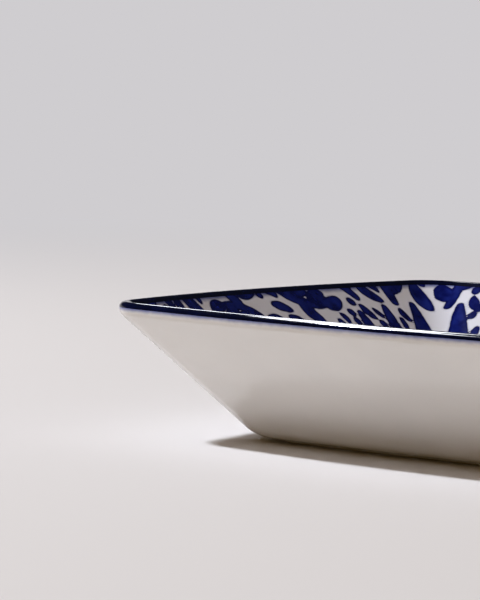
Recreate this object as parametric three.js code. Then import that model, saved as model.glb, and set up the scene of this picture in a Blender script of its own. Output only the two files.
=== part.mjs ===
// Deep square dish of glazed porcelain: four flared walls that bow outwards in plan, a round upright lip
// with a cobalt band, and a low unglazed foot ring. Millimetres, +Z up. The origin is the middle of the
// plane that the foot stands on, and the sides run along X and Y.

import * as THREE from 'three';
import { mergeVertices } from 'three/addons/utils/BufferGeometryUtils.js';

// Driving dimensions: the plan
const RIM_WIDTH = 158; // over the lip, between the middles of two opposite sides
const BASE_WIDTH = 98.6; // where the outer wall runs out at the underside, between the middles of two sides
const RIM_BOW = 6.5; // how far the middle of a side stands out from the line between its corners, at the rim
const BASE_BOW = 1.5; // the same at the underside
const RIM_CORNER_RADIUS = 10.3;
const BASE_CORNER_RADIUS = 9;

// Driving dimensions: the section through the middle of a side
const HEIGHT = 34.4;
const WALL_THICKNESS = 4.2; // at the floor; the wall thins from there to the lip
const FLOOR_THICKNESS = 4;
const FLOOR_FILLET_RADIUS = 8; // between the floor and the inside of the wall
const HEEL_RADIUS = 9; // between the underside and the outside of the wall
const LIP_RADIUS = 1.4;
const LIP_HEIGHT = 2.8; // the upright rim above the straight flare
const LIP_BEND_RADIUS = 3; // outside, where the flare turns upright

// Driving dimensions: the foot ring
const FOOT_HEIGHT = 0.8; // from the standing plane to the underside of the heel
const FOOT_WIDTH = 4;
const FOOT_SETBACK = 1.2; // from the end of the heel's round to the ring
const FOOT_EDGE_RADIUS = 0.5;
const RECESS_DEPTH = 1.5; // of the panel inside the ring, from the standing plane

// Driving dimensions: the coats
const GLAZE_THICKNESS = 0.3;
const BAND_INSIDE_WIDTH = 1.1; // how far the band runs down the inside of the wall, past the lip's round
const SEAT_GAP = 0.1; // between a coat and what it lies on, and between two coats

// Fineness of the curves
const SIDE_STEPS = 8; // on each side of the plan
const CORNER_STEPS = 4; // on each corner of the plan
const ARC_DIVISIONS = 3; // half the number of steps on each arc of the section
const WALL_STEPS = 5; // up the straight part of the wall

const coat = GLAZE_THICKNESS + SEAT_GAP;
const rimHalf = RIM_WIDTH / 2;
const baseHalf = BASE_WIDTH / 2;

// An arc that spreads by spread to both sides of a bearing, about a centre that lies on that bearing
function arc(distance, bearing, radius, spread) {
  const x = distance * Math.cos(bearing);
  const y = distance * Math.sin(bearing);
  return new THREE.EllipseCurve(x, y, radius, radius, bearing - spread, bearing + spread);
}

// A square with bowed sides and round corners. half is its reach at the middle of a side.
function bowedSquare(half, bow, cornerRadius) {
  const chordHalf = half - bow;
  const sideRadius = (chordHalf ** 2 + bow ** 2) / (2 * bow);
  const sideCentre = half - sideRadius;
  // The corner circle touches two side arcs from within, so its centre lies on the diagonal.
  const reach = sideRadius - cornerRadius;
  const cornerCentre = (sideCentre + Math.sqrt(2 * reach ** 2 - sideCentre ** 2)) / 2;
  const sideAngle = Math.atan2(cornerCentre, cornerCentre - sideCentre);
  const cornerAngle = Math.PI / 4 - sideAngle;

  const points = [];
  for (let quarter = 0; quarter < 4; quarter++) {
    const middle = (quarter * Math.PI) / 2;
    const side = arc(sideCentre, middle, sideRadius, sideAngle);
    const corner = arc(cornerCentre * Math.SQRT2, middle + Math.PI / 4, cornerRadius, cornerAngle);
    points.push(...side.getPoints(SIDE_STEPS).slice(1), ...corner.getPoints(CORNER_STEPS).slice(1));
  }
  return points;
}

const rimPlan = bowedSquare(rimHalf, RIM_BOW, RIM_CORNER_RADIUS);
const basePlan = bowedSquare(baseHalf, BASE_BOW, BASE_CORNER_RADIUS);

// The plan at any reach: it grows from the middle to the base plan, and from there turns into the rim plan.
function planPoint(step, reach) {
  const base = basePlan[step].clone();
  if (reach < baseHalf) {
    return base.multiplyScalar(reach / baseHalf);
  }
  return base.lerp(rimPlan[step], (reach - baseHalf) / (rimHalf - baseHalf));
}

// A solid with the given section on the bowed square plan, as a lathe makes one on a circle
function squareTurn(section) {
  const steps = rimPlan.length;
  const vertices = section.flatMap((point) => rimPlan.map((_, step) => {
    const plan = planPoint(step, point.x);
    return new THREE.Vector3(plan.x, plan.y, point.y);
  }));
  const faces = [];
  for (let ring = 0; ring < section.length - 1; ring++) {
    const { x, y } = section[ring];
    const next = section[ring + 1];
    // Every face is split from its upper left to its lower right, so that two walls lie parallel.
    const rises = next.y > y || (next.y === y && next.x > x);
    for (let step = 0; step < steps; step++) {
      const a = ring * steps + step;
      const b = ring * steps + (step + 1) % steps;
      const c = b + steps;
      const d = a + steps;
      faces.push(...(rises ? [[a, b, d], [b, c, d]] : [[a, b, c], [a, c, d]]));
    }
  }
  const skin = new THREE.BufferGeometry().setFromPoints(vertices).setIndex(faces.flat());
  const solid = mergeVertices(skin);
  const index = solid.getIndex();
  const corners = faces.map((_, face) => [0, 1, 2].map((corner) => index.getX(face * 3 + corner)));
  const whole = corners.filter((face) => new Set(face).size === 3); // none without width on the axis
  solid.setIndex(whole.flat());
  solid.computeVertexNormals();
  return solid;
}

// Outer wall of the section: from the heel up the straight flare to the upright lip
const flareTop = new THREE.Vector2(rimHalf, HEIGHT - LIP_HEIGHT);
const flareFoot = new THREE.Vector2(baseHalf, FOOT_HEIGHT);
const lean = Math.atan2(flareTop.x - flareFoot.x, flareTop.y - flareFoot.y);
const lipCentre = new THREE.Vector2(rimHalf - LIP_RADIUS, HEIGHT - LIP_RADIUS);
const bendRoom = (lipCentre.y - flareTop.y) / Math.tan(lean / 2);
const bendRadius = Math.min(LIP_BEND_RADIUS, bendRoom);
const bendCentre = new THREE.Vector2(
  rimHalf - bendRadius,
  flareTop.y + bendRadius * Math.tan(lean / 2),
);
const heelCentre = new THREE.Vector2(
  baseHalf - HEEL_RADIUS * Math.tan((Math.PI / 2 - lean) / 2),
  FOOT_HEIGHT + HEEL_RADIUS,
);

// Inner wall of the section: it starts one wall thickness inside the flare at floor level and touches
// the lip's round.
const floorLevel = RECESS_DEPTH + FLOOR_THICKNESS;
const innerFoot = new THREE.Vector2(
  baseHalf + (floorLevel - FOOT_HEIGHT) * Math.tan(lean) - WALL_THICKNESS / Math.cos(lean),
  floorLevel,
);
const toLip = lipCentre.clone().sub(innerFoot);
const innerSlope = toLip.angle() + Math.asin(LIP_RADIUS / toLip.length());
const upInnerWall = new THREE.Vector2(Math.cos(innerSlope), Math.sin(innerSlope));
const offInnerWall = new THREE.Vector2(-upInnerWall.y, upInnerWall.x);
const floorFilletCentre = new THREE.Vector2(
  innerFoot.x - FLOOR_FILLET_RADIUS * Math.tan(innerSlope / 2),
  floorLevel + FLOOR_FILLET_RADIUS,
);

// Foot ring of the section
const footOuter = heelCentre.x - FOOT_SETBACK;
const footInner = footOuter - FOOT_WIDTH;

// The stretches below lie depth inside the finished surface, so a coat is the space between two of them.

function straightTo(path, x, y) {
  const start = path.currentPoint.clone();
  const end = new THREE.Vector2(x, y);
  for (let step = 1; step <= WALL_STEPS; step++) {
    const point = start.clone().lerp(end, step / WALL_STEPS);
    path.lineTo(point.x, point.y);
  }
}

function outerWall(path, depth) {
  const heel = HEEL_RADIUS - depth;
  const bend = bendRadius - depth;
  path.lineTo(heelCentre.x, heelCentre.y - heel);
  path.absarc(heelCentre.x, heelCentre.y, heel, -Math.PI / 2, -lean);
  straightTo(path, bendCentre.x + bend * Math.cos(lean), bendCentre.y - bend * Math.sin(lean));
  path.absarc(bendCentre.x, bendCentre.y, bend, -lean, 0);
}

function lipRound(path, depth) {
  path.absarc(lipCentre.x, lipCentre.y, LIP_RADIUS - depth, 0, innerSlope + Math.PI / 2);
}

// A point on the inner wall, drop below the end of the lip's round
function onInnerWall(depth, drop) {
  return lipCentre.clone()
    .addScaledVector(offInnerWall, LIP_RADIUS - depth)
    .addScaledVector(upInnerWall, -drop);
}

function innerWallAndFloor(path, depth) {
  const fillet = FLOOR_FILLET_RADIUS + depth;
  const top = floorFilletCentre.clone().addScaledVector(offInnerWall, -fillet);
  straightTo(path, top.x, top.y);
  path.absarc(
    floorFilletCentre.x,
    floorFilletCentre.y,
    fillet,
    innerSlope - Math.PI / 2,
    -Math.PI / 2,
    true,
  );
  path.lineTo(0, floorLevel - depth);
}

function outsideStretch(depth) {
  const path = new THREE.Path();
  path.moveTo(footOuter + SEAT_GAP, FOOT_HEIGHT + depth);
  outerWall(path, depth);
  path.lineTo(rimHalf - depth, lipCentre.y - SEAT_GAP);
  return path.getPoints(ARC_DIVISIONS);
}

function bandStretch(depth) {
  const path = new THREE.Path();
  lipRound(path, depth);
  const end = onInnerWall(depth, BAND_INSIDE_WIDTH);
  path.lineTo(end.x, end.y);
  return path.getPoints(ARC_DIVISIONS);
}

function insideStretch(depth) {
  const path = new THREE.Path();
  const start = onInnerWall(depth, BAND_INSIDE_WIDTH + SEAT_GAP);
  path.moveTo(start.x, start.y);
  innerWallAndFloor(path, depth);
  return path.getPoints(ARC_DIVISIONS);
}

function bodySection() {
  const path = new THREE.Path();
  path.moveTo(0, RECESS_DEPTH + coat);
  path.lineTo(footInner, RECESS_DEPTH + coat);
  path.lineTo(footInner, FOOT_EDGE_RADIUS);
  path.absarc(footInner + FOOT_EDGE_RADIUS, FOOT_EDGE_RADIUS, FOOT_EDGE_RADIUS, Math.PI, Math.PI * 1.5);
  path.lineTo(footOuter - FOOT_EDGE_RADIUS, 0);
  path.absarc(footOuter - FOOT_EDGE_RADIUS, FOOT_EDGE_RADIUS, FOOT_EDGE_RADIUS, -Math.PI / 2, 0);
  path.lineTo(footOuter, FOOT_HEIGHT + coat);
  outerWall(path, coat);
  lipRound(path, coat);
  innerWallAndFloor(path, coat);
  return path.getPoints(ARC_DIVISIONS);
}

// The section of a coat runs along its finished face, back along its seat and closes on itself.
function coatSection(stretch) {
  const section = [...stretch(0), ...stretch(GLAZE_THICKNESS).reverse()];
  return [...section, section[0].clone()];
}

function recessSection() {
  const edge = footInner - SEAT_GAP;
  return [
    new THREE.Vector2(0, RECESS_DEPTH),
    new THREE.Vector2(edge, RECESS_DEPTH),
    new THREE.Vector2(edge, RECESS_DEPTH + GLAZE_THICKNESS),
    new THREE.Vector2(0, RECESS_DEPTH + GLAZE_THICKNESS),
  ];
}

const biscuit = new THREE.MeshStandardMaterial({ name: 'biscuit', color: 0xe9e4da, roughness: 0.85 });
const clearGlaze = new THREE.MeshStandardMaterial({ name: 'white_glaze', color: 0xf2f2ef, roughness: 0.12 });
const cobalt = new THREE.MeshStandardMaterial({ name: 'cobalt_band', color: 0x10193f, roughness: 0.12 });

function piece(name, section, material) {
  const mesh = new THREE.Mesh(squareTurn(section), material);
  mesh.name = name;
  return mesh;
}

const dish = new THREE.Group();
dish.name = 'square_dish';
dish.add(
  piece('porcelain_body', bodySection(), biscuit),
  piece('outside_glaze', coatSection(outsideStretch), clearGlaze),
  piece('rim_band', coatSection(bandStretch), cobalt),
  piece('inside_glaze', coatSection(insideStretch), clearGlaze),
  piece('recess_glaze', recessSection(), clearGlaze),
);

export default dish;
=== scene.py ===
"""Looks of a deep square dish of glazed porcelain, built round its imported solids.

The clay body, the coats of glaze and the cobalt band are modelled finely on the bowed square plan and the
section of the solids, and a leaf print lies under the inside glaze. Metres, +Z up.
"""

import math

import bmesh
import bpy
import numpy as np
from bpy.props import FloatProperty, FloatVectorProperty, IntProperty, PointerProperty
from bpy.types import Operator, Panel, PropertyGroup
from mathutils import Euler, Matrix, Quaternion, Vector


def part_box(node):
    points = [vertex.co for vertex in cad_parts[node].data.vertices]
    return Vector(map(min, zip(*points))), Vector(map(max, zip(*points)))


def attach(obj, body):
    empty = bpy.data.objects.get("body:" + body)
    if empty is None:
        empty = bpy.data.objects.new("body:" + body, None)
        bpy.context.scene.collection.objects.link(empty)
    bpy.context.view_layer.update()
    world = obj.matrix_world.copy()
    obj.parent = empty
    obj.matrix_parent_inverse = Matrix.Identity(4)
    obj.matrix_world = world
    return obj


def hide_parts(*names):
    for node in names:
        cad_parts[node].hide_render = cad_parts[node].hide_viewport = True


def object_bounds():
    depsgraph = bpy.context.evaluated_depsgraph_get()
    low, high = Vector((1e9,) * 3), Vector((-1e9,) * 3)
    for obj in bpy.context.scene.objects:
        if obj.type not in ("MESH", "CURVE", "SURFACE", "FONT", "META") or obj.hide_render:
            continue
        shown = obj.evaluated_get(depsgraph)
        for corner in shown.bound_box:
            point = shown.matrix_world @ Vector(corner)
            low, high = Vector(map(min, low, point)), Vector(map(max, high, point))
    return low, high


bl_info = {
    "name": "Square Porcelain Dish",
    "version": (1, 0, 0),
    "blender": (4, 5, 0),
    "location": "View3D > Sidebar > Dish",
    "description": "Models the coats, the band, the print and the clay of a deep square dish",
    "category": "Object",
}

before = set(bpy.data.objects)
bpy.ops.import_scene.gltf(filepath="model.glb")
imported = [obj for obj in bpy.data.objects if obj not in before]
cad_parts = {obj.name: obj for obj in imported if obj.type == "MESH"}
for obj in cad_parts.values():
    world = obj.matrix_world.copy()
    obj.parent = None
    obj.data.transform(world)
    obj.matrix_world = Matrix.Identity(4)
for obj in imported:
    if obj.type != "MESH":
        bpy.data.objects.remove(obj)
CAD_LOW, CAD_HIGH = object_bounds()
RECESS_LOW, RECESS_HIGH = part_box("recess_glaze")

MM = 0.001

# Fineness of the meshes
SIDE_STEPS = 96  # on each side of the plan, for the pieces drawn ring by ring
SIDE_SHARE = 0.85  # the part of those steps that lies on the side, the rest being the corner's round
ARC_STEP = math.radians(4.5)  # along an arc of the section
WALL_SPACING = 2.0 * MM  # along a straight part of the section
INSIDE_STEPS = 220  # across the inside, from band to band
FLOOR_SHARE = 0.34  # the part of the inside's rings that lies on the floor
CORNER_TURN = np.array(0.5)  # where the first corner lies round the plan
SHARP_ANGLE = math.radians(35)
MERGE_DISTANCE = 1e-7
LEAST_RING = 1e-9  # keeps the middle of the inside from a division by zero

# Distance from the dish over which the floor turns into an even backdrop
BACKDROP_START = 0.25
BACKDROP_FULL = 1.1


def distance(name, description, default):
    """A length that a user may change."""
    return FloatProperty(
        name=name,
        description=description,
        default=default,
        min=0.0,
        precision=5,
        subtype="DISTANCE",
        unit="LENGTH",
    )


def power(name, description, default):
    """The power of a lamp that a user may change."""
    return FloatProperty(name=name, description=description, default=default, min=0.0, unit="POWER")


def colour(name, description, default):
    """A colour that a user may change."""
    return FloatVectorProperty(
        name=name, description=description, default=default, min=0.0, max=2.0, size=3, subtype="COLOR"
    )


class DishSizes(PropertyGroup):
    """Sizes of the dish on its plan and in the section through the middle of a side."""

    rim_width: distance("Rim width", "Over the lip, middle of side to middle of side", CAD_HIGH.x - CAD_LOW.x)
    rim_bow: distance("Rim bow", "How far the middle of a side stands out at the rim", 6.5 * MM)
    rim_corner_radius: distance("Rim corner radius", "Round of the rim's corners in plan", 10.3 * MM)
    base_width: distance("Base width", "Where the outer wall runs out at the underside", 98.6 * MM)
    base_bow: distance("Base bow", "How far the middle of a side stands out at the base", 1.5 * MM)
    base_corner_radius: distance("Base corner radius", "Round of the base's corners in plan", 9.0 * MM)
    height: distance("Height", "From the standing plane to the top of the lip", CAD_HIGH.z - CAD_LOW.z)
    wall_thickness: distance("Wall thickness", "At the floor; the wall thins to the lip", 4.2 * MM)
    floor_thickness: distance("Floor thickness", "From the recess to the inside floor", 4.0 * MM)
    floor_fillet_radius: distance("Floor fillet radius", "Between floor and inner wall", 8.0 * MM)
    heel_radius: distance("Heel radius", "Between underside and outer wall", 9.0 * MM)
    lip_radius: distance("Lip radius", "Round of the lip", 1.4 * MM)
    lip_height: distance("Lip height", "Upright rim above the straight flare", 2.8 * MM)
    lip_bend_radius: distance("Lip bend radius", "Outside, where the flare turns upright", 3.0 * MM)
    foot_height: distance("Foot height", "From the standing plane to the heel", 0.8 * MM)
    foot_width: distance("Foot width", "Width of the foot ring", 4.0 * MM)
    foot_setback: distance("Foot setback", "From the heel's round to the foot ring", 1.2 * MM)
    foot_edge_radius: distance("Foot edge radius", "Round of the foot ring's edges", 0.5 * MM)
    recess_depth: distance("Recess depth", "From the standing plane to the recess's glaze", RECESS_LOW.z)
    glaze_thickness: distance("Glaze thickness", "Of every coat", RECESS_HIGH.z - RECESS_LOW.z)
    band_inside_width: distance("Band inside width", "How far the band runs down the inner wall", 1.1 * MM)


class DishPrint(PropertyGroup):
    """Sizes of the leaf print under the inside glaze."""

    twig_length: distance("Twig length", "Length of a large twig", 23.0 * MM)
    leaf_length: distance("Leaf length", "Length of a large single leaf", 9.0 * MM)
    leaf_gap: distance("Leaf gap", "Least room between the outlines of two motifs", 0.75 * MM)
    ink_spread: distance("Ink spread", "How far the ink runs past the outline of a motif", 0.36 * MM)
    mitre_gap: distance("Mitre gap", "Bare glaze on each side of a corner", 0.3 * MM)
    foot_gap: distance("Foot gap", "Bare glaze between the floor's round and the wall's print", 1.0 * MM)
    line_width: distance("Line width", "Of the line round the floor", 1.8 * MM)
    seed: IntProperty(name="Seed", description="Start of the scatter of leaves", default=3, min=0)


class DishColours(PropertyGroup):
    """Colours of the dish and of the stage."""

    glaze: colour("Glaze", "Clear glaze over white porcelain", (0.826, 0.80, 0.768))
    glaze_shade: colour("Glaze shade", "Where the glaze lies thicker", (0.788, 0.765, 0.738))
    # Both inside glaze colours are tinted bluer than the outside glaze: painted cool light, standing in for
    # the bluish light that the leaf print reflects round the shaded inside of the dish.
    inside_glaze: colour("Inside glaze", "Glaze with a trace of the print's cobalt", (0.77, 0.78, 0.86))
    inside_shade: colour("Inside shade", "Where the inside glaze lies thicker", (0.73, 0.745, 0.83))
    cobalt: colour("Cobalt", "Full cobalt of the band", (0.0008, 0.0014, 0.010))
    cobalt_light: colour("Light cobalt", "Cobalt where the band is thin", (0.0016, 0.003, 0.024))
    print_dark: colour("Print, dark", "Cobalt at the edges of a leaf", (0.002, 0.004, 0.075))
    print_light: colour("Print, light", "Cobalt wash within a leaf", (0.009, 0.018, 0.185))
    bleed: colour("Bleed", "Cobalt that has run into the glaze", (0.11, 0.13, 0.31))
    biscuit: colour("Biscuit", "Bare clay of the foot", (0.74, 0.70, 0.63))
    biscuit_worn: colour("Worn biscuit", "Bare clay where it is rubbed", (0.58, 0.54, 0.48))
    floor: colour("Floor", "Floor near the dish", (0.69, 0.68, 0.69))
    backdrop: colour("Backdrop", "Floor and backdrop far from the dish", (0.625, 0.61, 0.63))


class DishStage(PropertyGroup):
    """Light and camera."""

    lamp_distance: distance("Lamp distance", "From the dish to the lamps", 2.5)
    key_power: power("Key power", "Power of the lamp that casts the shadow", 66.5)
    key_size: distance("Key size", "Width of the key lamp", 0.22)
    key_colour: colour("Key colour", "Colour of the key lamp and the light boxes", (0.97, 1.0, 1.065))
    fill_power: power("Fill power", "Power of the broad lamp in front", 1.3)
    fill_size: distance("Fill size", "Width of the fill lamp", 1.2)
    fill_colour: colour("Fill colour", "Colour of the fill lamp", (1.35, 1.0, 0.5))
    gloss_power: power("Gloss power", "Power of the light box that shows only in the gloss", 70.0)
    gloss_length: distance("Gloss length", "Length of the light box", 2.43)
    gloss_width: distance("Gloss width", "Width of the light box", 0.44)
    glint_power: power("Glint power", "Power of the small light box that draws a thin line on the lip", 4.6)
    glint_length: distance("Glint length", "Length of the small light box", 0.42)
    glint_width: distance("Glint width", "Width of the small light box", 0.3)
    sky: colour("Sky", "Soft light all round", (0.165, 0.102, 0.03))
    room: colour("Room", "What the glaze mirrors of the room", (0.022, 0.024, 0.036))
    lens: FloatProperty(
        name="Lens",
        description="Focal length of the camera",
        default=180.0,
        subtype="DISTANCE_CAMERA",
        unit="CAMERA",
    )


# Plan


class BowedSquare:
    """A square with bowed sides and round corners. half is its reach at the middle of a side."""

    def __init__(self, half, bow, corner_radius):
        chord_half = half - bow
        self.half = half
        self.corner_radius = corner_radius
        self.side_radius = (chord_half**2 + bow**2) / (2 * bow)
        self.side_centre = half - self.side_radius
        # The corner circle touches two side arcs from within, so its centre lies on the diagonal.
        reach = self.side_radius - corner_radius
        self.corner_centre = (self.side_centre + math.sqrt(2 * reach**2 - self.side_centre**2)) / 2
        self.side_angle = math.atan2(self.corner_centre, self.corner_centre - self.side_centre)

    def at(self, turn):
        """Points of the outline. A whole turn is the middle of a side, from +X on, and a half a corner."""
        side = np.round(turn)
        share = 2 * np.abs(turn - side)
        into_corner = np.maximum((share - SIDE_SHARE) / (1 - SIDE_SHARE), 0)
        bearing = np.minimum(share / SIDE_SHARE, 1) * self.side_angle
        bearing = bearing + into_corner * (math.pi / 4 - self.side_angle)
        on_corner = into_corner > 0
        radius = np.where(on_corner, self.corner_radius, self.side_radius)
        x = np.where(on_corner, self.corner_centre, self.side_centre) + radius * np.cos(bearing)
        y = np.where(on_corner, self.corner_centre, 0) + radius * np.sin(bearing)
        y = y * np.sign(turn - side)
        angle = side * math.pi / 2
        return np.stack(
            [x * np.cos(angle) - y * np.sin(angle), x * np.sin(angle) + y * np.cos(angle)], axis=-1
        )


class DishPlan:
    """The plan at any reach: it grows from the middle to the base plan, then turns into the rim's."""

    def __init__(self, sizes):
        self.base = BowedSquare(sizes.base_width / 2, sizes.base_bow, sizes.base_corner_radius)
        self.rim = BowedSquare(sizes.rim_width / 2, sizes.rim_bow, sizes.rim_corner_radius)

    def at(self, turn, reach):
        """Points of the outline whose middle of a side lies at the given reach."""
        reach = np.asarray(reach, float)[..., None]
        base = self.base.at(turn)
        share = (reach - self.base.half) / (self.rim.half - self.base.half)
        within = base * (reach / self.base.half)
        beyond = base + (self.rim.at(turn) - base) * share
        return np.where(reach < self.base.half, within, beyond)


# Section


def arc(centre, radius, start, end):
    """Points along an arc, both ends included."""
    steps = max(2, math.ceil(abs(end - start) / ARC_STEP))
    angles = np.linspace(start, end, steps + 1)
    return list(centre + radius * np.stack([np.cos(angles), np.sin(angles)], axis=1))


def between(start, end):
    """Points along a straight part, its ends left out."""
    steps = max(1, math.ceil(float(np.linalg.norm(end - start)) / WALL_SPACING))
    return [start + (end - start) * step / steps for step in range(1, steps)]


class DishSection:
    """The section through the middle of a side, as points of reach and height, depth below the finish."""

    def __init__(self, sizes):
        self.sizes = sizes
        self.rim = sizes.rim_width / 2
        base = sizes.base_width / 2
        flare_top = np.array((self.rim, sizes.height - sizes.lip_height))
        flare_foot = np.array((base, sizes.foot_height))
        self.lean = math.atan2(*(flare_top - flare_foot))
        self.lip_centre = np.array((self.rim - sizes.lip_radius, sizes.height - sizes.lip_radius))
        bend_room = (self.lip_centre[1] - flare_top[1]) / math.tan(self.lean / 2)
        self.bend_radius = min(sizes.lip_bend_radius, bend_room)
        bend_rise = self.bend_radius * math.tan(self.lean / 2)
        self.bend_centre = np.array((self.rim - self.bend_radius, flare_top[1] + bend_rise))
        heel_run = sizes.heel_radius * math.tan((math.pi / 2 - self.lean) / 2)
        self.heel_centre = np.array((base - heel_run, sizes.foot_height + sizes.heel_radius))

        self.floor_level = sizes.recess_depth + sizes.floor_thickness
        flare_reach = base + (self.floor_level - sizes.foot_height) * math.tan(self.lean)
        inner_foot = np.array((flare_reach - sizes.wall_thickness / math.cos(self.lean), self.floor_level))
        to_lip = self.lip_centre - inner_foot
        turn_in = math.asin(sizes.lip_radius / float(np.linalg.norm(to_lip)))
        self.inner_slope = math.atan2(to_lip[1], to_lip[0]) + turn_in
        self.up_wall = np.array((math.cos(self.inner_slope), math.sin(self.inner_slope)))
        self.off_wall = np.array((-self.up_wall[1], self.up_wall[0]))
        fillet_run = sizes.floor_fillet_radius * math.tan(self.inner_slope / 2)
        fillet_level = self.floor_level + sizes.floor_fillet_radius
        self.fillet_centre = np.array((inner_foot[0] - fillet_run, fillet_level))

        self.foot_outer = self.heel_centre[0] - sizes.foot_setback
        self.foot_inner = self.foot_outer - sizes.foot_width

    def outer_wall(self, depth):
        """From the heel's round up the flare and round the bend to the upright lip."""
        heel = arc(self.heel_centre, self.sizes.heel_radius - depth, -math.pi / 2, -self.lean)
        bend = arc(self.bend_centre, self.bend_radius - depth, -self.lean, 0)
        return [*heel, *between(heel[-1], bend[0]), *bend]

    def lip(self, depth):
        """The lip's round, from outside to inside."""
        return arc(self.lip_centre, self.sizes.lip_radius - depth, 0, self.inner_slope + math.pi / 2)

    def on_inner_wall(self, depth, drop):
        """A point on the inner wall, drop below the end of the lip's round."""
        return self.lip_centre + self.off_wall * (self.sizes.lip_radius - depth) - self.up_wall * drop

    def band_edge(self, depth):
        """The band's lower edge on the inner wall."""
        return self.on_inner_wall(depth, self.sizes.band_inside_width)

    def inner_wall(self, start, depth):
        """From a point on the inner wall down to the floor."""
        radius = self.sizes.floor_fillet_radius + depth
        fillet = arc(self.fillet_centre, radius, self.inner_slope - math.pi / 2, -math.pi / 2)
        return [start, *between(start, fillet[0]), *fillet]

    def outside(self, depth):
        """The outside glaze, from the foot ring up to the band."""
        start = np.array((self.foot_outer, self.sizes.foot_height + depth))
        end = np.array((self.rim - depth, self.lip_centre[1]))
        return [start, *self.outer_wall(depth), end]

    def band(self, depth):
        """The cobalt band, over the lip and down the inner wall."""
        return [*self.lip(depth), self.band_edge(depth)]

    def inside(self):
        """The finished face of the inside, from the axis up to the band."""
        wall = self.inner_wall(self.band_edge(0), 0)[::-1]
        middle = np.array((0.0, self.floor_level))
        return [middle, *between(middle, wall[0]), *wall]

    def body(self):
        """The clay under the coats, from the recess round the foot and over the lip to the floor."""
        coat = self.sizes.glaze_thickness
        edge = self.sizes.foot_edge_radius
        recess = self.sizes.recess_depth + coat
        inner_edge = arc(np.array((self.foot_inner + edge, edge)), edge, math.pi, math.pi * 1.5)
        outer_edge = arc(np.array((self.foot_outer - edge, edge)), edge, -math.pi / 2, 0)
        under_heel = np.array((self.foot_outer, self.sizes.foot_height + coat))
        lip = self.lip(coat)
        foot = [np.array((self.foot_inner, recess)), *inner_edge, *outer_edge, under_heel]
        return [*foot, *self.outer_wall(coat), *lip, *self.inner_wall(lip[-1], coat)[1:]]


# Meshes


def draw_round_plan(bm, plan, section):
    """Draws a section round the plan ring by ring, and returns the edges of its first and last ring."""
    step = bm.verts.layers.int.new("step")
    turns = np.arange(4 * SIDE_STEPS) / SIDE_STEPS
    ring = bmesh.ops.create_circle(bm, segments=len(turns), radius=1.0)["verts"]
    for index, vert in enumerate(ring):
        vert[step] = index
    first = edges = bm.edges[:]
    for number, (reach, height) in enumerate(section):
        if number > 0:
            made = bmesh.ops.extrude_edge_only(bm, edges=edges)["geom"]
            ring = [part for part in made if isinstance(part, bmesh.types.BMVert)]
            edges = [part for part in made if isinstance(part, bmesh.types.BMEdge)]
        outline = plan.at(turns, reach)
        for vert in ring:
            vert.co = (*outline[vert[step]], height)
    return first, edges


def coat_mesh(plan, stretch, thickness):
    """A closed coat: along its finished face, back along its seat, and round to the start."""
    bm = bmesh.new()
    section = [*stretch(0), *reversed(stretch(thickness))]
    draw_round_plan(bm, plan, [*section, section[0]])
    bmesh.ops.remove_doubles(bm, verts=bm.verts[:], dist=MERGE_DISTANCE)
    return bm


def capped_mesh(plan, section):
    """A closed solid whose section ends at two flat caps."""
    bm = bmesh.new()
    for edges in draw_round_plan(bm, plan, section):
        bmesh.ops.contextual_create(bm, geom=edges)
    return bm


def place_piece(bm, name, material, node):
    """Makes the mesh a piece of the dish in place of a solid."""
    bmesh.ops.recalc_face_normals(bm, faces=bm.faces[:])
    for face in bm.faces:
        face.smooth = True
    for edge in bm.edges:
        edge.smooth = edge.calc_face_angle(0) < SHARP_ANGLE
    mesh = bpy.data.meshes.new(name)
    bm.to_mesh(mesh)
    bm.free()
    mesh.materials.append(material)
    piece = bpy.data.objects.new(name, mesh)
    bpy.context.scene.collection.objects.link(piece)
    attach(piece, "root")
    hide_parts(node)


# Leaf print, in millimetres on the flat of a panel

CIRCLE_SPACING = 0.8  # along a brush stroke
LEAST_CIRCLES = 12
BARE = -9.0  # depth of the print far from any leaf
BLEED_REACH = 3.0  # how far round a leaf its print is worked out

# A brush stroke swells and thins like part of a half wave, whose fullest place the skew shifts
STROKE_START = 0.06  # the share of the half wave at which it starts
STROKE_SPAN = 0.9  # the share of it that it covers
STROKE_SKEW = 0.9
CURL_PIVOT = 0.3  # the share of its length at which a curled stroke keeps its heading
LEAF_BLUNT = 0.6
STALK_BLUNT = 0.35
BERRY_BLUNT = 0.4
PETAL_BLUNT = 0.7
FAN_BLUNT = 0.5

# Motifs, their lengths and widths as shares of their size and their angles in radians
TWIG_CURL = 0.9
TWIG_JOINTS = (0.2, 0.45, 0.7)  # places of the leaves along the stalk
TWIG_LEAN = (0.75, 1.05)
TWIG_STALK_WIDTH = 0.15
TWIG_LEAF_LENGTH = (0.40, 0.50)
TWIG_LEAF_WIDTH = 0.24
TWIG_LEAF_CURL = 0.8
TWIG_TIP_LENGTH = 0.36
SPRIG_CURL = 0.5
SPRIG_LEAN = 0.8
SPRIG_SHORTENING = 0.18  # of the two outer leaves
SPRIG_LEAF_WIDTH = 0.40
SPRIG_LEAF_CURL = 0.7
LEAF_WIDTH = (0.42, 0.52)
LEAF_CURL = 1.0
BERRY_LENGTH = 0.5
BERRY_WIDTH = 0.8

# The fan of leaves in a corner
FAN_SIZE = 1.4  # in lengths of a twig
FAN_LEAVES = 5
FAN_INSET = 2.4  # from the corner to the first leaf
FAN_SPACING = 6.2

# The leaves of a fan, their lengths and widths as shares of its size
FAN_LIFT = 0.14
FAN_LEAN = 0.60
FAN_LEAN_STEP = 0.17
FAN_LENGTH = 1.06
FAN_LENGTH_STEP = 0.09
FAN_WIDTH = 0.155
FAN_CURL = 0.45

# The rosette on the floor
PETALS = 8
PETAL_LENGTH = 1.4  # in lengths of a leaf
PETAL_WIDTH = 0.36  # of its length
PETAL_OFFSET = 2.6  # from the middle
EYE_SIZE = 0.3  # of a petal's length
EYE_START = (-1.0, 0.0)

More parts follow.
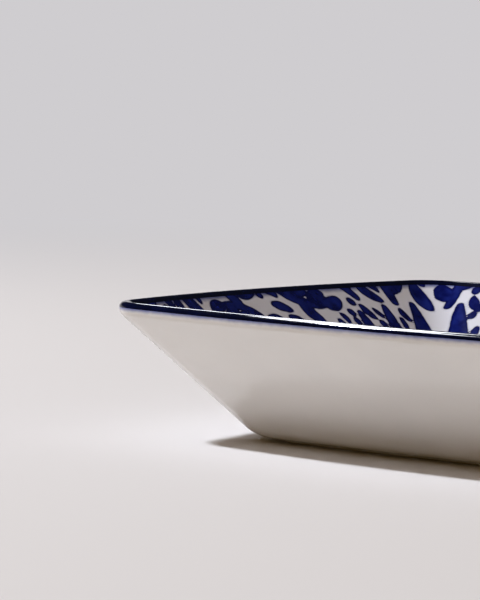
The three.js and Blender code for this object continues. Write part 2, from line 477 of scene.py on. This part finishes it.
# The scatter of motifs
SCATTER_MARGIN = 3.0
HEADING_SPREAD = 0.3
SIZE_RANGE = (0.85, 1.15)
MITRE_SLANT = 0.85  # from the room along a wall to the room square to its corner
WALL_HEADING = 1.3
SWAY, SWAY_LENGTH = 0.6, 19.0  # of the headings along a wall
RIPPLE, RIPPLE_LENGTH = 0.3, 9.0  # of the headings up a wall
FLOOR_SWIRL = 0.9


def stroke(base, heading, length, width, curl, blunt):
    """A brush stroke as a row of circles (x, y, radius), the more blunt the lower that power."""
    steps = max(LEAST_CIRCLES, math.ceil(length / CIRCLE_SPACING))
    share = np.linspace(0.0, 1.0, steps + 1)
    angle = heading + curl * (share[:-1] - CURL_PIVOT)
    step = length / steps
    x = base[0] + np.append(0.0, np.cumsum(np.cos(angle) * step))
    y = base[1] + np.append(0.0, np.cumsum(np.sin(angle) * step))
    swell = (STROKE_START + STROKE_SPAN * share) ** STROKE_SKEW
    fullness = np.sin(math.pi * swell) ** blunt
    return np.stack([x, y, width / 2 * fullness], axis=1)


def twig(rng, place, heading, size):
    """A stalk with leaves to both sides in turn and one at its tip."""
    curl = rng.uniform(-TWIG_CURL, TWIG_CURL)
    stalk = stroke(place, heading, size, TWIG_STALK_WIDTH * size, curl, STALK_BLUNT)
    leaf_width = TWIG_LEAF_WIDTH * size
    parts = [stalk]
    side = rng.choice([-1, 1])
    for share in TWIG_JOINTS:
        joint = stalk[int(share * (len(stalk) - 1)), :2]
        lean = heading + curl * (share - CURL_PIVOT) + side * rng.uniform(*TWIG_LEAN)
        length = size * rng.uniform(*TWIG_LEAF_LENGTH)
        parts.append(stroke(joint, lean, length, leaf_width, -TWIG_LEAF_CURL * side, LEAF_BLUNT))
        side = -side
    tip_heading = heading + curl * (1 - CURL_PIVOT)
    parts.append(stroke(stalk[-2, :2], tip_heading, TWIG_TIP_LENGTH * size, leaf_width, curl, LEAF_BLUNT))
    return np.concatenate(parts)


def sprig(rng, place, heading, size):
    """Three leaves on one stalk."""
    curl = rng.uniform(-SPRIG_CURL, SPRIG_CURL)
    parts = []
    for side in (-1, 0, 1):
        lean = heading + SPRIG_LEAN * side
        length = size * (1 - SPRIG_SHORTENING * abs(side))
        inward = curl - SPRIG_LEAF_CURL * side
        parts.append(stroke(place, lean, length, SPRIG_LEAF_WIDTH * size, inward, LEAF_BLUNT))
    return np.concatenate(parts)


def leaf(rng, place, heading, size):
    """A single leaf."""
    width = size * rng.uniform(*LEAF_WIDTH)
    curl = rng.uniform(-LEAF_CURL, LEAF_CURL)
    return stroke(place, heading, size, width, curl, LEAF_BLUNT)


def berry(rng, place, heading, size):
    """A short round dab."""
    return stroke(place, heading, BERRY_LENGTH * size, BERRY_WIDTH * size, 0.0, BERRY_BLUNT)


def corner_fan(side, foot, size):
    """Broad leaves that rise side by side from the foot of a corner."""
    parts = []
    for number in range(FAN_LEAVES):
        base = np.array((side * (foot - FAN_INSET - FAN_SPACING * number), FAN_LIFT * size))
        heading = math.pi / 2 - side * (FAN_LEAN - FAN_LEAN_STEP * number)
        length = size * (FAN_LENGTH - FAN_LENGTH_STEP * number)
        parts.append(stroke(base, heading, length, FAN_WIDTH * size, FAN_CURL * side, FAN_BLUNT))
    return np.concatenate(parts)


def paint(points, depth, circles):
    """Adds a motif to the print of a panel."""
    low = circles[:, :2].min(axis=0) - BLEED_REACH
    high = circles[:, :2].max(axis=0) + BLEED_REACH
    near = np.flatnonzero(((points > low) & (points < high)).all(axis=1))
    if len(near) > 0:
        offset = points[near, None, :] - circles[None, :, :2]
        within = (circles[None, :, 2] - np.hypot(offset[..., 0], offset[..., 1])).max(axis=1)
        depth[near] = np.maximum(depth[near], within)


def is_clear(circles, laid, gap):
    """Whether a motif keeps its distance from those that are laid."""
    offset = circles[::2, None, :2] - laid[None, ::2, :2]
    apart = np.hypot(offset[..., 0], offset[..., 1]) - laid[None, ::2, 2] - circles[::2, None, 2]
    return bool(np.all(apart > gap))


def scatter_leaves(points, depth, laid, fits, flow, rng, sizes):
    """Fills a panel with motifs, the large ones first, along a flow of headings."""
    gap = sizes.leaf_gap / MM
    twig_size = sizes.twig_length / MM
    leaf_size = sizes.leaf_length / MM
    # Each motif with its size and the number of tries to place it
    motifs = (
        (twig, twig_size, 150),
        (twig, 0.74 * twig_size, 240),
        (sprig, 1.2 * leaf_size, 240),
        (leaf, leaf_size, 420),
        (leaf, 0.66 * leaf_size, 520),
        (leaf, 0.42 * leaf_size, 700),
        (berry, 0.3 * leaf_size, 700),
    )
    low = points.min(axis=0) - SCATTER_MARGIN
    high = points.max(axis=0) + SCATTER_MARGIN
    for motif, size, tries in motifs:
        for _ in range(tries):
            place = rng.uniform(low, high)
            heading = flow(place) + rng.normal(0, HEADING_SPREAD) + math.pi * rng.integers(2)
            circles = motif(rng, place, heading, size * rng.uniform(*SIZE_RANGE))
            if fits(circles) and is_clear(circles, laid, gap):
                paint(points, depth, circles)
                laid = np.concatenate([laid, circles])


def wall_print(along, up, corner, sizes, rng):
    """Print on a wall: up runs from the print's lower edge, corner is where the wall ends at that height."""
    points = np.stack([along, up], axis=1)
    order = np.argsort(up)
    heights, ends = up[order], corner[order]
    bare = sizes.mitre_gap / MM
    phase = rng.uniform(0, 2 * math.pi)

    def fits(circles):
        room = np.interp(circles[:, 1], heights, ends) - np.abs(circles[:, 0])
        off_corner = np.all(MITRE_SLANT * room > circles[:, 2] + bare)
        return off_corner and np.all(circles[:, 1] > circles[:, 2])

    def flow(place):
        sway = SWAY * math.sin(place[0] / SWAY_LENGTH + phase)
        ripple = RIPPLE * math.sin(place[1] / RIPPLE_LENGTH)
        return WALL_HEADING + sway + ripple

    depth = np.full(len(points), BARE)
    fan_size = FAN_SIZE * sizes.twig_length / MM
    fans = np.concatenate([corner_fan(side, ends[0], fan_size) for side in (-1, 1)])
    paint(points, depth, fans)
    scatter_leaves(points, depth, fans, fits, flow, rng, sizes)
    return depth + sizes.ink_spread / MM


def floor_print(points, reach, edge, sizes, rng):
    """Print on the floor: a rosette, leaves round it and a line along the floor's edge."""
    width = sizes.line_width / MM
    line = edge - 2 * width
    depth = np.full(len(points), BARE)
    petal = PETAL_LENGTH * sizes.leaf_length / MM
    rosette = [berry(rng, np.array(EYE_START), 0.0, EYE_SIZE * petal)]
    for bearing in np.arange(PETALS) * 2 * math.pi / PETALS:
        base = PETAL_OFFSET * np.array((math.cos(bearing), math.sin(bearing)))
        rosette.append(stroke(base, bearing, petal, PETAL_WIDTH * petal, 0.0, PETAL_BLUNT))
    laid = np.concatenate(rosette)
    paint(points, depth, laid)

    def fits(circles):
        return np.all(np.abs(circles[:, :2]).max(axis=1) + circles[:, 2] < line - 2 * width)

    def flow(place):
        return math.atan2(place[1], place[0]) + FLOOR_SWIRL

    scatter_leaves(points, depth, laid, fits, flow, rng, sizes)
    return np.maximum(depth + sizes.ink_spread / MM, width / 2 - np.abs(reach - line))


# Materials

GLAZE_IOR = 1.5
GLAZE_ROUGHNESS = (0.045, 0.08)
BISCUIT_ROUGHNESS = 0.8
SWELL_HEIGHT = 0.03 * MM  # of the glaze
GRAIN_HEIGHT = 0.05 * MM  # of the bare clay
CLOUD = (0.3, 0.7)  # the stretch that most of a noise lies in

# Cobalt that runs from the band's edge into the glaze
RUN_BELOW = 1.1 * MM
RUN_ABOVE = 0.3 * MM
RUN_RAGGED = 0.4 * MM

# Depths within a leaf of the print, in millimetres
INK_WOBBLE = 0.5
INK_SOFT = 0.09  # half the soft edge of the ink
HALO = (-0.6, 0.1)
HALO_STRENGTH = 0.35
WASH = (0.15, 0.9)


def feed(tree, socket, value):
    """Gives an input a socket to link or a value."""
    if isinstance(value, bpy.types.NodeSocket):
        tree.links.new(value, socket)
    else:
        socket.default_value = value


def new_node(tree, kind, inputs=None, **settings):
    """Adds a node; an input takes a socket to link or a value."""
    node = tree.nodes.new(kind)
    for name, value in settings.items():
        setattr(node, name, value)
    for name, value in (inputs or {}).items():
        feed(tree, node.inputs[name], value)
    return node


def new_material(name):
    """A material with its node tree, its shader and Object coordinates."""
    material = bpy.data.materials.new(name)
    material.use_nodes = True
    tree = material.node_tree
    shader = tree.nodes["Principled BSDF"]
    coords = new_node(tree, "ShaderNodeTexCoord").outputs["Object"]
    return material, tree, shader, coords


def noise(tree, coords, scale, detail=2.0):
    """A cloudy value from 0 to 1, scale in waves per metre."""
    node = new_node(tree, "ShaderNodeTexNoise", {"Vector": coords, "Scale": scale, "Detail": detail})
    return node.outputs["Fac"]


def ramp(tree, value, start, end, low=0.0, high=1.0):
    """Maps start to end of a value smoothly to low to high."""
    inputs = {"Value": value, "From Min": start, "From Max": end, "To Min": low, "To Max": high}
    return new_node(tree, "ShaderNodeMapRange", inputs, interpolation_type="SMOOTHSTEP").outputs["Result"]


def math_node(tree, operation, *values):
    """Works out one value from others, each a socket or a number."""
    node = new_node(tree, "ShaderNodeMath", operation=operation)
    for socket, value in zip(node.inputs, values):
        feed(tree, socket, value)
    return node.outputs["Value"]


def blend(tree, share, first, second):
    """Mixes two colours, each a socket or a colour."""
    node = new_node(tree, "ShaderNodeMix", data_type="RGBA")
    tree.links.new(share, node.inputs["Factor"])
    sockets = [s for s in node.inputs if s.type == "RGBA"]
    for socket, value in zip(sockets, (first, second)):
        linked = isinstance(value, bpy.types.NodeSocket)
        feed(tree, socket, value if linked else (*value, 1.0))
    return next(s for s in node.outputs if s.type == "RGBA")


def glaze_finish(tree, shader, coords):
    """The gloss of a fired glaze: slightly uneven, with a faint swell in its surface."""
    uneven = ramp(tree, noise(tree, coords, scale=130.0), *CLOUD, *GLAZE_ROUGHNESS)
    tree.links.new(uneven, shader.inputs["Roughness"])
    swell = new_node(
        tree,
        "ShaderNodeBump",
        {"Height": noise(tree, coords, scale=75.0), "Strength": 0.5, "Distance": SWELL_HEIGHT},
    )
    tree.links.new(swell.outputs["Normal"], shader.inputs["Normal"])
    shader.inputs["IOR"].default_value = GLAZE_IOR


def white_glaze(tree, coords, thin, thick, bleed, edge_height):
    """White glaze with a little cobalt run into it below the band's edge."""
    cloud = ramp(tree, noise(tree, coords, scale=38.0, detail=3.0), *CLOUD)
    white = blend(tree, cloud, thin, thick)
    height = new_node(tree, "ShaderNodeSeparateXYZ", {"Vector": coords}).outputs["Z"]
    ragged = math_node(tree, "MULTIPLY_ADD", noise(tree, coords, scale=500.0), RUN_RAGGED, height)
    run = ramp(tree, ragged, edge_height - RUN_BELOW, edge_height + RUN_ABOVE)
    return blend(tree, run, white, bleed)


def outside_material(colours, section):
    """White glaze with a trace of cobalt under the band."""
    material, tree, shader, coords = new_material("outside glaze")
    edge = section.lip_centre[1]
    white = white_glaze(tree, coords, colours.glaze, colours.glaze_shade, colours.bleed, edge)
    tree.links.new(white, shader.inputs["Base Color"])
    glaze_finish(tree, shader, coords)
    return material


def inside_material(colours, section):
    """White glaze over the leaf print, which is dark at a leaf's edge and a wash within it."""
    material, tree, shader, coords = new_material("printed inside glaze")
    edge = section.band_edge(0)[1]
    # The inside glaze colours carry a painted cool tint for the bluish light that the print reflects inside
    # the dish.
    white = white_glaze(tree, coords, colours.inside_glaze, colours.inside_shade, colours.bleed, edge)
    depth = new_node(tree, "ShaderNodeAttribute", attribute_name="print_depth").outputs["Fac"]
    wobble = math_node(tree, "MULTIPLY_ADD", noise(tree, coords, scale=420.0), INK_WOBBLE, -INK_WOBBLE / 2)
    within = math_node(tree, "ADD", depth, wobble)
    cloud = ramp(tree, noise(tree, coords, scale=240.0, detail=3.0), start=0.3, end=0.75)
    wash = math_node(tree, "MULTIPLY", ramp(tree, within, *WASH), cloud)
    ink = blend(tree, wash, colours.print_dark, colours.print_light)
    halo = blend(tree, ramp(tree, within, *HALO, high=HALO_STRENGTH), white, colours.bleed)
    inked = ramp(tree, within, -INK_SOFT, INK_SOFT)
    tree.links.new(blend(tree, inked, halo, ink), shader.inputs["Base Color"])
    glaze_finish(tree, shader, coords)
    return material


def band_material(colours):
    """Dark cobalt under the glaze, lighter where it lies thin."""
    material, tree, shader, coords = new_material("cobalt band")
    cloud = ramp(tree, noise(tree, coords, scale=160.0, detail=3.0), start=0.35, end=0.75)
    tree.links.new(blend(tree, cloud, colours.cobalt, colours.cobalt_light), shader.inputs["Base Color"])
    glaze_finish(tree, shader, coords)
    return material


def biscuit_material(colours):
    """Bare fired clay: matt, finely grained, rubbed a little darker in places."""
    material, tree, shader, coords = new_material("biscuit")
    rubbed = ramp(tree, noise(tree, coords, scale=90.0, detail=4.0), start=0.45, end=0.8)
    tree.links.new(blend(tree, rubbed, colours.biscuit, colours.biscuit_worn), shader.inputs["Base Color"])
    grain = new_node(
        tree,
        "ShaderNodeBump",
        {"Height": noise(tree, coords, scale=2600.0, detail=3.0), "Strength": 0.6, "Distance": GRAIN_HEIGHT},
    )
    tree.links.new(grain.outputs["Normal"], shader.inputs["Normal"])
    shader.inputs["Roughness"].default_value = BISCUIT_ROUGHNESS
    return material


def seen_share(tree):
    """One for what is seen straight, mirrored or through glass, and zero for the light that it gives."""
    path = new_node(tree, "ShaderNodeLightPath").outputs
    seen = math_node(tree, "MAXIMUM", path["Is Camera Ray"], path["Is Glossy Ray"])
    return math_node(tree, "MAXIMUM", seen, path["Is Transmission Ray"])


def floor_material(colours):
    """A plain floor that is lit near the dish, and far from it is seen as an even backdrop."""
    material, tree, shader, coords = new_material("plain floor")
    shader.inputs["Base Color"].default_value = (*colours.floor, 1.0)
    shader.inputs["Roughness"].default_value = 1.0
    shader.inputs["Specular IOR Level"].default_value = 0.0
    backdrop = new_node(tree, "ShaderNodeEmission", {"Color": (*colours.backdrop, 1.0), "Strength": 1.0})
    far = new_node(tree, "ShaderNodeVectorMath", {"Vector": coords}, operation="LENGTH").outputs["Value"]
    share = math_node(tree, "MULTIPLY", seen_share(tree), ramp(tree, far, BACKDROP_START, BACKDROP_FULL))
    mixed = new_node(tree, "ShaderNodeMixShader", {"Fac": share})
    tree.links.new(shader.outputs["BSDF"], mixed.inputs[1])
    tree.links.new(backdrop.outputs["Emission"], mixed.inputs[2])
    tree.links.new(mixed.outputs["Shader"], tree.nodes["Material Output"].inputs["Surface"])
    return material


# Operators


def settings():
    """The dish's sizes and colours, with its plan and section."""
    scene = bpy.context.scene
    sizes = scene.dish_sizes
    return sizes, scene.dish_colours, DishPlan(sizes), DishSection(sizes)


class DISH_OT_clay_body(Operator):
    """Model the clay body, which shows only at the foot ring"""

    bl_idname = "dish.clay_body"
    bl_label = "Clay Body"

    def execute(self, context):
        _, colours, plan, section = settings()
        bm = capped_mesh(plan, section.body())
        place_piece(bm, "clay_body", biscuit_material(colours), "porcelain_body")
        return {"FINISHED"}


class DISH_OT_outside_coat(Operator):
    """Model the glaze from the heel to the lip"""

    bl_idname = "dish.outside_coat"
    bl_label = "Outside Glaze"

    def execute(self, context):
        sizes, colours, plan, section = settings()
        bm = coat_mesh(plan, section.outside, sizes.glaze_thickness)
        material = outside_material(colours, section)
        place_piece(bm, "outside_glaze_coat", material, "outside_glaze")

        level = sizes.recess_depth
        edge = section.foot_inner
        bm = capped_mesh(plan, [(edge, level), (edge, level + sizes.glaze_thickness)])
        place_piece(bm, "recess_glaze_coat", material, "recess_glaze")
        return {"FINISHED"}


class DISH_OT_rim_band(Operator):
    """Model the cobalt band over the lip"""

    bl_idname = "dish.rim_band"
    bl_label = "Rim Band"

    def execute(self, context):
        sizes, colours, plan, section = settings()
        bm = coat_mesh(plan, section.band, sizes.glaze_thickness)
        place_piece(bm, "rim_band_coat", band_material(colours), "rim_band")
        return {"FINISHED"}


class DISH_OT_inside_coat(Operator):
    """Model the glaze of the inside and lay the leaf print under it"""

    bl_idname = "dish.inside_coat"
    bl_label = "Inside Glaze"

    def execute(self, context):
        sizes, colours, plan, section = settings()
        bm = bmesh.new()
        bmesh.ops.create_grid(bm, x_segments=INSIDE_STEPS, y_segments=INSIDE_STEPS, size=1.0)
        flat = np.array([vert.co[:2] for vert in bm.verts])
        ring = np.abs(flat).max(axis=1)
        turn = self.turns(flat, ring)

        path = np.array(section.inside())
        run = np.append(0.0, np.cumsum(np.linalg.norm(np.diff(path, axis=0), axis=1)))
        floor_run = section.fillet_centre[0]
        station = np.interp(ring, (0.0, FLOOR_SHARE, 1.0), (0.0, floor_run, run[-1]))
        reach = np.interp(station, run, path[:, 0])
        height = np.interp(station, run, path[:, 1])
        outline = plan.at(turn, reach)

        depth = self.print_depth(context.scene.dish_print, plan, outline, turn, station, reach, floor_run)
        layer = bm.verts.layers.float.new("print_depth")
        for vert, spot, level, value in zip(bm.verts, outline, height, depth):
            vert.co = (*spot, level)
            vert[layer] = value
        bmesh.ops.solidify(bm, geom=bm.faces[:], thickness=sizes.glaze_thickness)
        material = inside_material(colours, section)
        place_piece(bm, "inside_glaze_coat", material, "inside_glaze")
        return {"FINISHED"}

    @staticmethod
    def turns(flat, ring):
        """Where each point of the square grid lies round the plan."""
        across = flat / np.maximum(ring, LEAST_RING)[:, None]
        on_x = np.abs(flat[:, 0]) >= np.abs(flat[:, 1])
        to_x = np.where(flat[:, 0] > 0, across[:, 1] / 2, 2 - across[:, 1] / 2)
        to_y = np.where(flat[:, 1] > 0, 1 - across[:, 0] / 2, 3 + across[:, 0] / 2)
        return np.where(on_x, to_x, to_y)

    @staticmethod
    def print_depth(sizes, plan, outline, turn, station, reach, floor_run):
        """How deep each point lies within the print, in millimetres, wall by wall and on the floor."""
        depth = np.full(len(turn), BARE)
        side = np.round(turn).astype(int) % 4
        lower = floor_run + sizes.foot_gap
        for wall in range(4):
            chosen = np.flatnonzero((side == wall) & (station > lower))
            angle = -wall * math.pi / 2
            x, y = outline[chosen].T
            along = x * math.sin(angle) + y * math.cos(angle)
            corner = plan.at(CORNER_TURN, reach[chosen])[:, 0]
            rng = np.random.default_rng(sizes.seed + wall)
            up = station[chosen] - lower
            depth[chosen] = wall_print(along / MM, up / MM, corner / MM, sizes, rng)
        chosen = np.flatnonzero(station <= floor_run)
        rng = np.random.default_rng(sizes.seed + 4)
        depth[chosen] = floor_print(outline[chosen] / MM, reach[chosen] / MM, floor_run / MM, sizes, rng)
        return depth


class DISH_OT_stage(Operator):
    """Set the floor with its backdrop, the light and the camera"""

    bl_idname = "dish.stage"
    bl_label = "Stage"

    # Floor and backdrop
    HALF_WIDTH = 6.0
    FRONT = -4.0
    BACK = 2.2  # where the floor starts to curve up
    CURVE_RADIUS = 0.35
    CURVE_STEPS = 24
    TOP = 0.6

    # Camera and lamps
    BACK_YAW = 0.62485  # the camera looks along -X and +Y
    PITCH = 0.0744
    ROLL = 0.02999
    CAMERA_PLACE = (0.38521, -0.65240, 0.09058)
    CLIP_START = 0.01
    KEY_BEARING = (-0.528, -0.31, 0.79)
    FILL_BEARING = (0.10, -0.90, 0.42)
    GLOSS_BEARING = (-0.541, 0.036, 0.84)
    GLOSS_LENGTHWISE = (-0.091, 0.991, -0.101)
    GLINT_BEARING = (-0.608, 0.673, 0.421)
    GLINT_LENGTHWISE = (-0.011, -0.537, 0.843)

    def execute(self, context):
        scene = context.scene
        stage = scene.dish_stage
        self.sweep(scene)

        key = self.lamp(stage, "key", self.KEY_BEARING, stage.key_power, stage.key_colour)
        fill = self.lamp(stage, "fill", self.FILL_BEARING, stage.fill_power, stage.fill_colour)
        key.data.size = stage.key_size
        fill.data.size = stage.fill_size
        for round_lamp in (key, fill):
            round_lamp.data.shape = "DISK"

        gloss = self.lamp(
            stage, "gloss", self.GLOSS_BEARING, stage.gloss_power, stage.key_colour, self.GLOSS_LENGTHWISE
        )
        glint = self.lamp(
            stage, "glint", self.GLINT_BEARING, stage.glint_power, stage.key_colour, self.GLINT_LENGTHWISE
        )
        gloss.data.size, gloss.data.size_y = stage.gloss_length, stage.gloss_width
        glint.data.size, glint.data.size_y = stage.glint_length, stage.glint_width
        for box in (gloss, glint):
            box.data.shape = "RECTANGLE"
            box.visible_diffuse = False

        scene.world = self.surroundings(stage)
        scene.view_settings.view_transform = "Standard"

        camera = bpy.data.cameras.new("camera")
        camera.lens = stage.lens
        camera.clip_start = self.CLIP_START
        eye = bpy.data.objects.new("camera", camera)
        eye.location = self.CAMERA_PLACE
        level = Euler((math.pi / 2 - self.PITCH, 0.0, self.BACK_YAW)).to_quaternion()
        eye.rotation_euler = (level @ Quaternion((0.0, 0.0, 1.0), self.ROLL)).to_euler()
        scene.collection.objects.link(eye)
        scene.camera = eye
        return {"FINISHED"}

    def surroundings(self, stage):
        """Soft light all round, which is seen and mirrored as a dim room."""
        world = bpy.data.worlds.new("soft sky")
        world.use_nodes = True
        tree = world.node_tree
        sky = tree.nodes["Background"]
        sky.inputs["Color"].default_value = (*stage.sky, 1.0)
        room = new_node(tree, "ShaderNodeBackground", {"Color": (*stage.room, 1.0)})
        mixed = new_node(tree, "ShaderNodeMixShader", {"Fac": seen_share(tree)})
        tree.links.new(sky.outputs["Background"], mixed.inputs[1])
        tree.links.new(room.outputs["Background"], mixed.inputs[2])
        tree.links.new(mixed.outputs["Shader"], tree.nodes["World Output"].inputs["Surface"])
        return world

    def lamp(self, stage, name, bearing, energy, tint, lengthwise=(0.0, 1.0, 0.0)):
        """A lamp that faces the dish, its length along a given direction."""
        light = bpy.data.lights.new(name, "AREA")
        light.energy = energy
        light.color = tint
        lamp = bpy.data.objects.new(name, light)
        towards = Vector(bearing).normalized()
        widthwise = towards.cross(Vector(lengthwise)).normalized()
        lamp.location = towards * stage.lamp_distance
        turned = Matrix((widthwise.cross(towards), widthwise, towards)).transposed()
        lamp.rotation_euler = turned.to_euler()
        bpy.context.scene.collection.objects.link(lamp)
        return lamp

    def sweep(self, scene):
        """A floor that curves up into a backdrop behind the dish."""
        bm = bmesh.new()
        start = [bm.verts.new((x, self.FRONT, 0.0)) for x in (-self.HALF_WIDTH, self.HALF_WIDTH)]
        edges = [bm.edges.new(start)]
        radius = self.CURVE_RADIUS
        angles = np.linspace(0, math.pi / 2, self.CURVE_STEPS + 1)
        bend = [(self.BACK + radius * math.sin(a), radius * (1 - math.cos(a))) for a in angles]
        last = (self.FRONT, 0.0)
        for y, z in [*bend, (self.BACK + radius, self.TOP)]:
            made = bmesh.ops.extrude_edge_only(bm, edges=edges)["geom"]
            edges = [part for part in made if isinstance(part, bmesh.types.BMEdge)]
            verts = [part for part in made if isinstance(part, bmesh.types.BMVert)]
            bmesh.ops.translate(bm, verts=verts, vec=(0.0, y - last[0], z - last[1]))
            last = (y, z)
        bmesh.ops.rotate(bm, verts=bm.verts[:], matrix=Matrix.Rotation(self.BACK_YAW, 3, "Z"))
        bmesh.ops.recalc_face_normals(bm, faces=bm.faces[:])
        for face in bm.faces:
            face.smooth = True
        mesh = bpy.data.meshes.new("floor")
        bm.to_mesh(mesh)
        bm.free()
        mesh.materials.append(floor_material(scene.dish_colours))
        floor = bpy.data.objects.new("floor", mesh)
        scene.collection.objects.link(floor)


class DISH_PT_panel(Panel):
    """Sizes, colours and steps of the dish"""

    bl_idname = "DISH_PT_panel"
    bl_label = "Square Dish"
    bl_space_type = "VIEW_3D"
    bl_region_type = "UI"
    bl_category = "Dish"

    def draw(self, context):
        layout = self.layout
        for group in PROPERTY_GROUPS:
            box = layout.box()
            for name in PROPERTY_GROUPS[group].__annotations__:
                box.prop(getattr(context.scene, group), name)
        for operator in STEPS:
            layout.operator(operator.bl_idname)


PROPERTY_GROUPS = {
    "dish_sizes": DishSizes,
    "dish_print": DishPrint,
    "dish_colours": DishColours,
    "dish_stage": DishStage,
}
STEPS = (
    DISH_OT_clay_body,
    DISH_OT_outside_coat,
    DISH_OT_rim_band,
    DISH_OT_inside_coat,
    DISH_OT_stage,
)


def register():
    for cls in (*PROPERTY_GROUPS.values(), *STEPS, DISH_PT_panel):
        bpy.utils.register_class(cls)
    for name, group in PROPERTY_GROUPS.items():
        setattr(bpy.types.Scene, name, PointerProperty(type=group))


def unregister():
    for name in PROPERTY_GROUPS:
        delattr(bpy.types.Scene, name)
    for cls in reversed((*PROPERTY_GROUPS.values(), *STEPS, DISH_PT_panel)):
        bpy.utils.unregister_class(cls)


def main():
    register()
    bpy.ops.dish.clay_body()
    bpy.ops.dish.outside_coat()
    bpy.ops.dish.rim_band()
    bpy.ops.dish.inside_coat()
    bpy.ops.dish.stage()


if __name__ == "__main__":
    main()
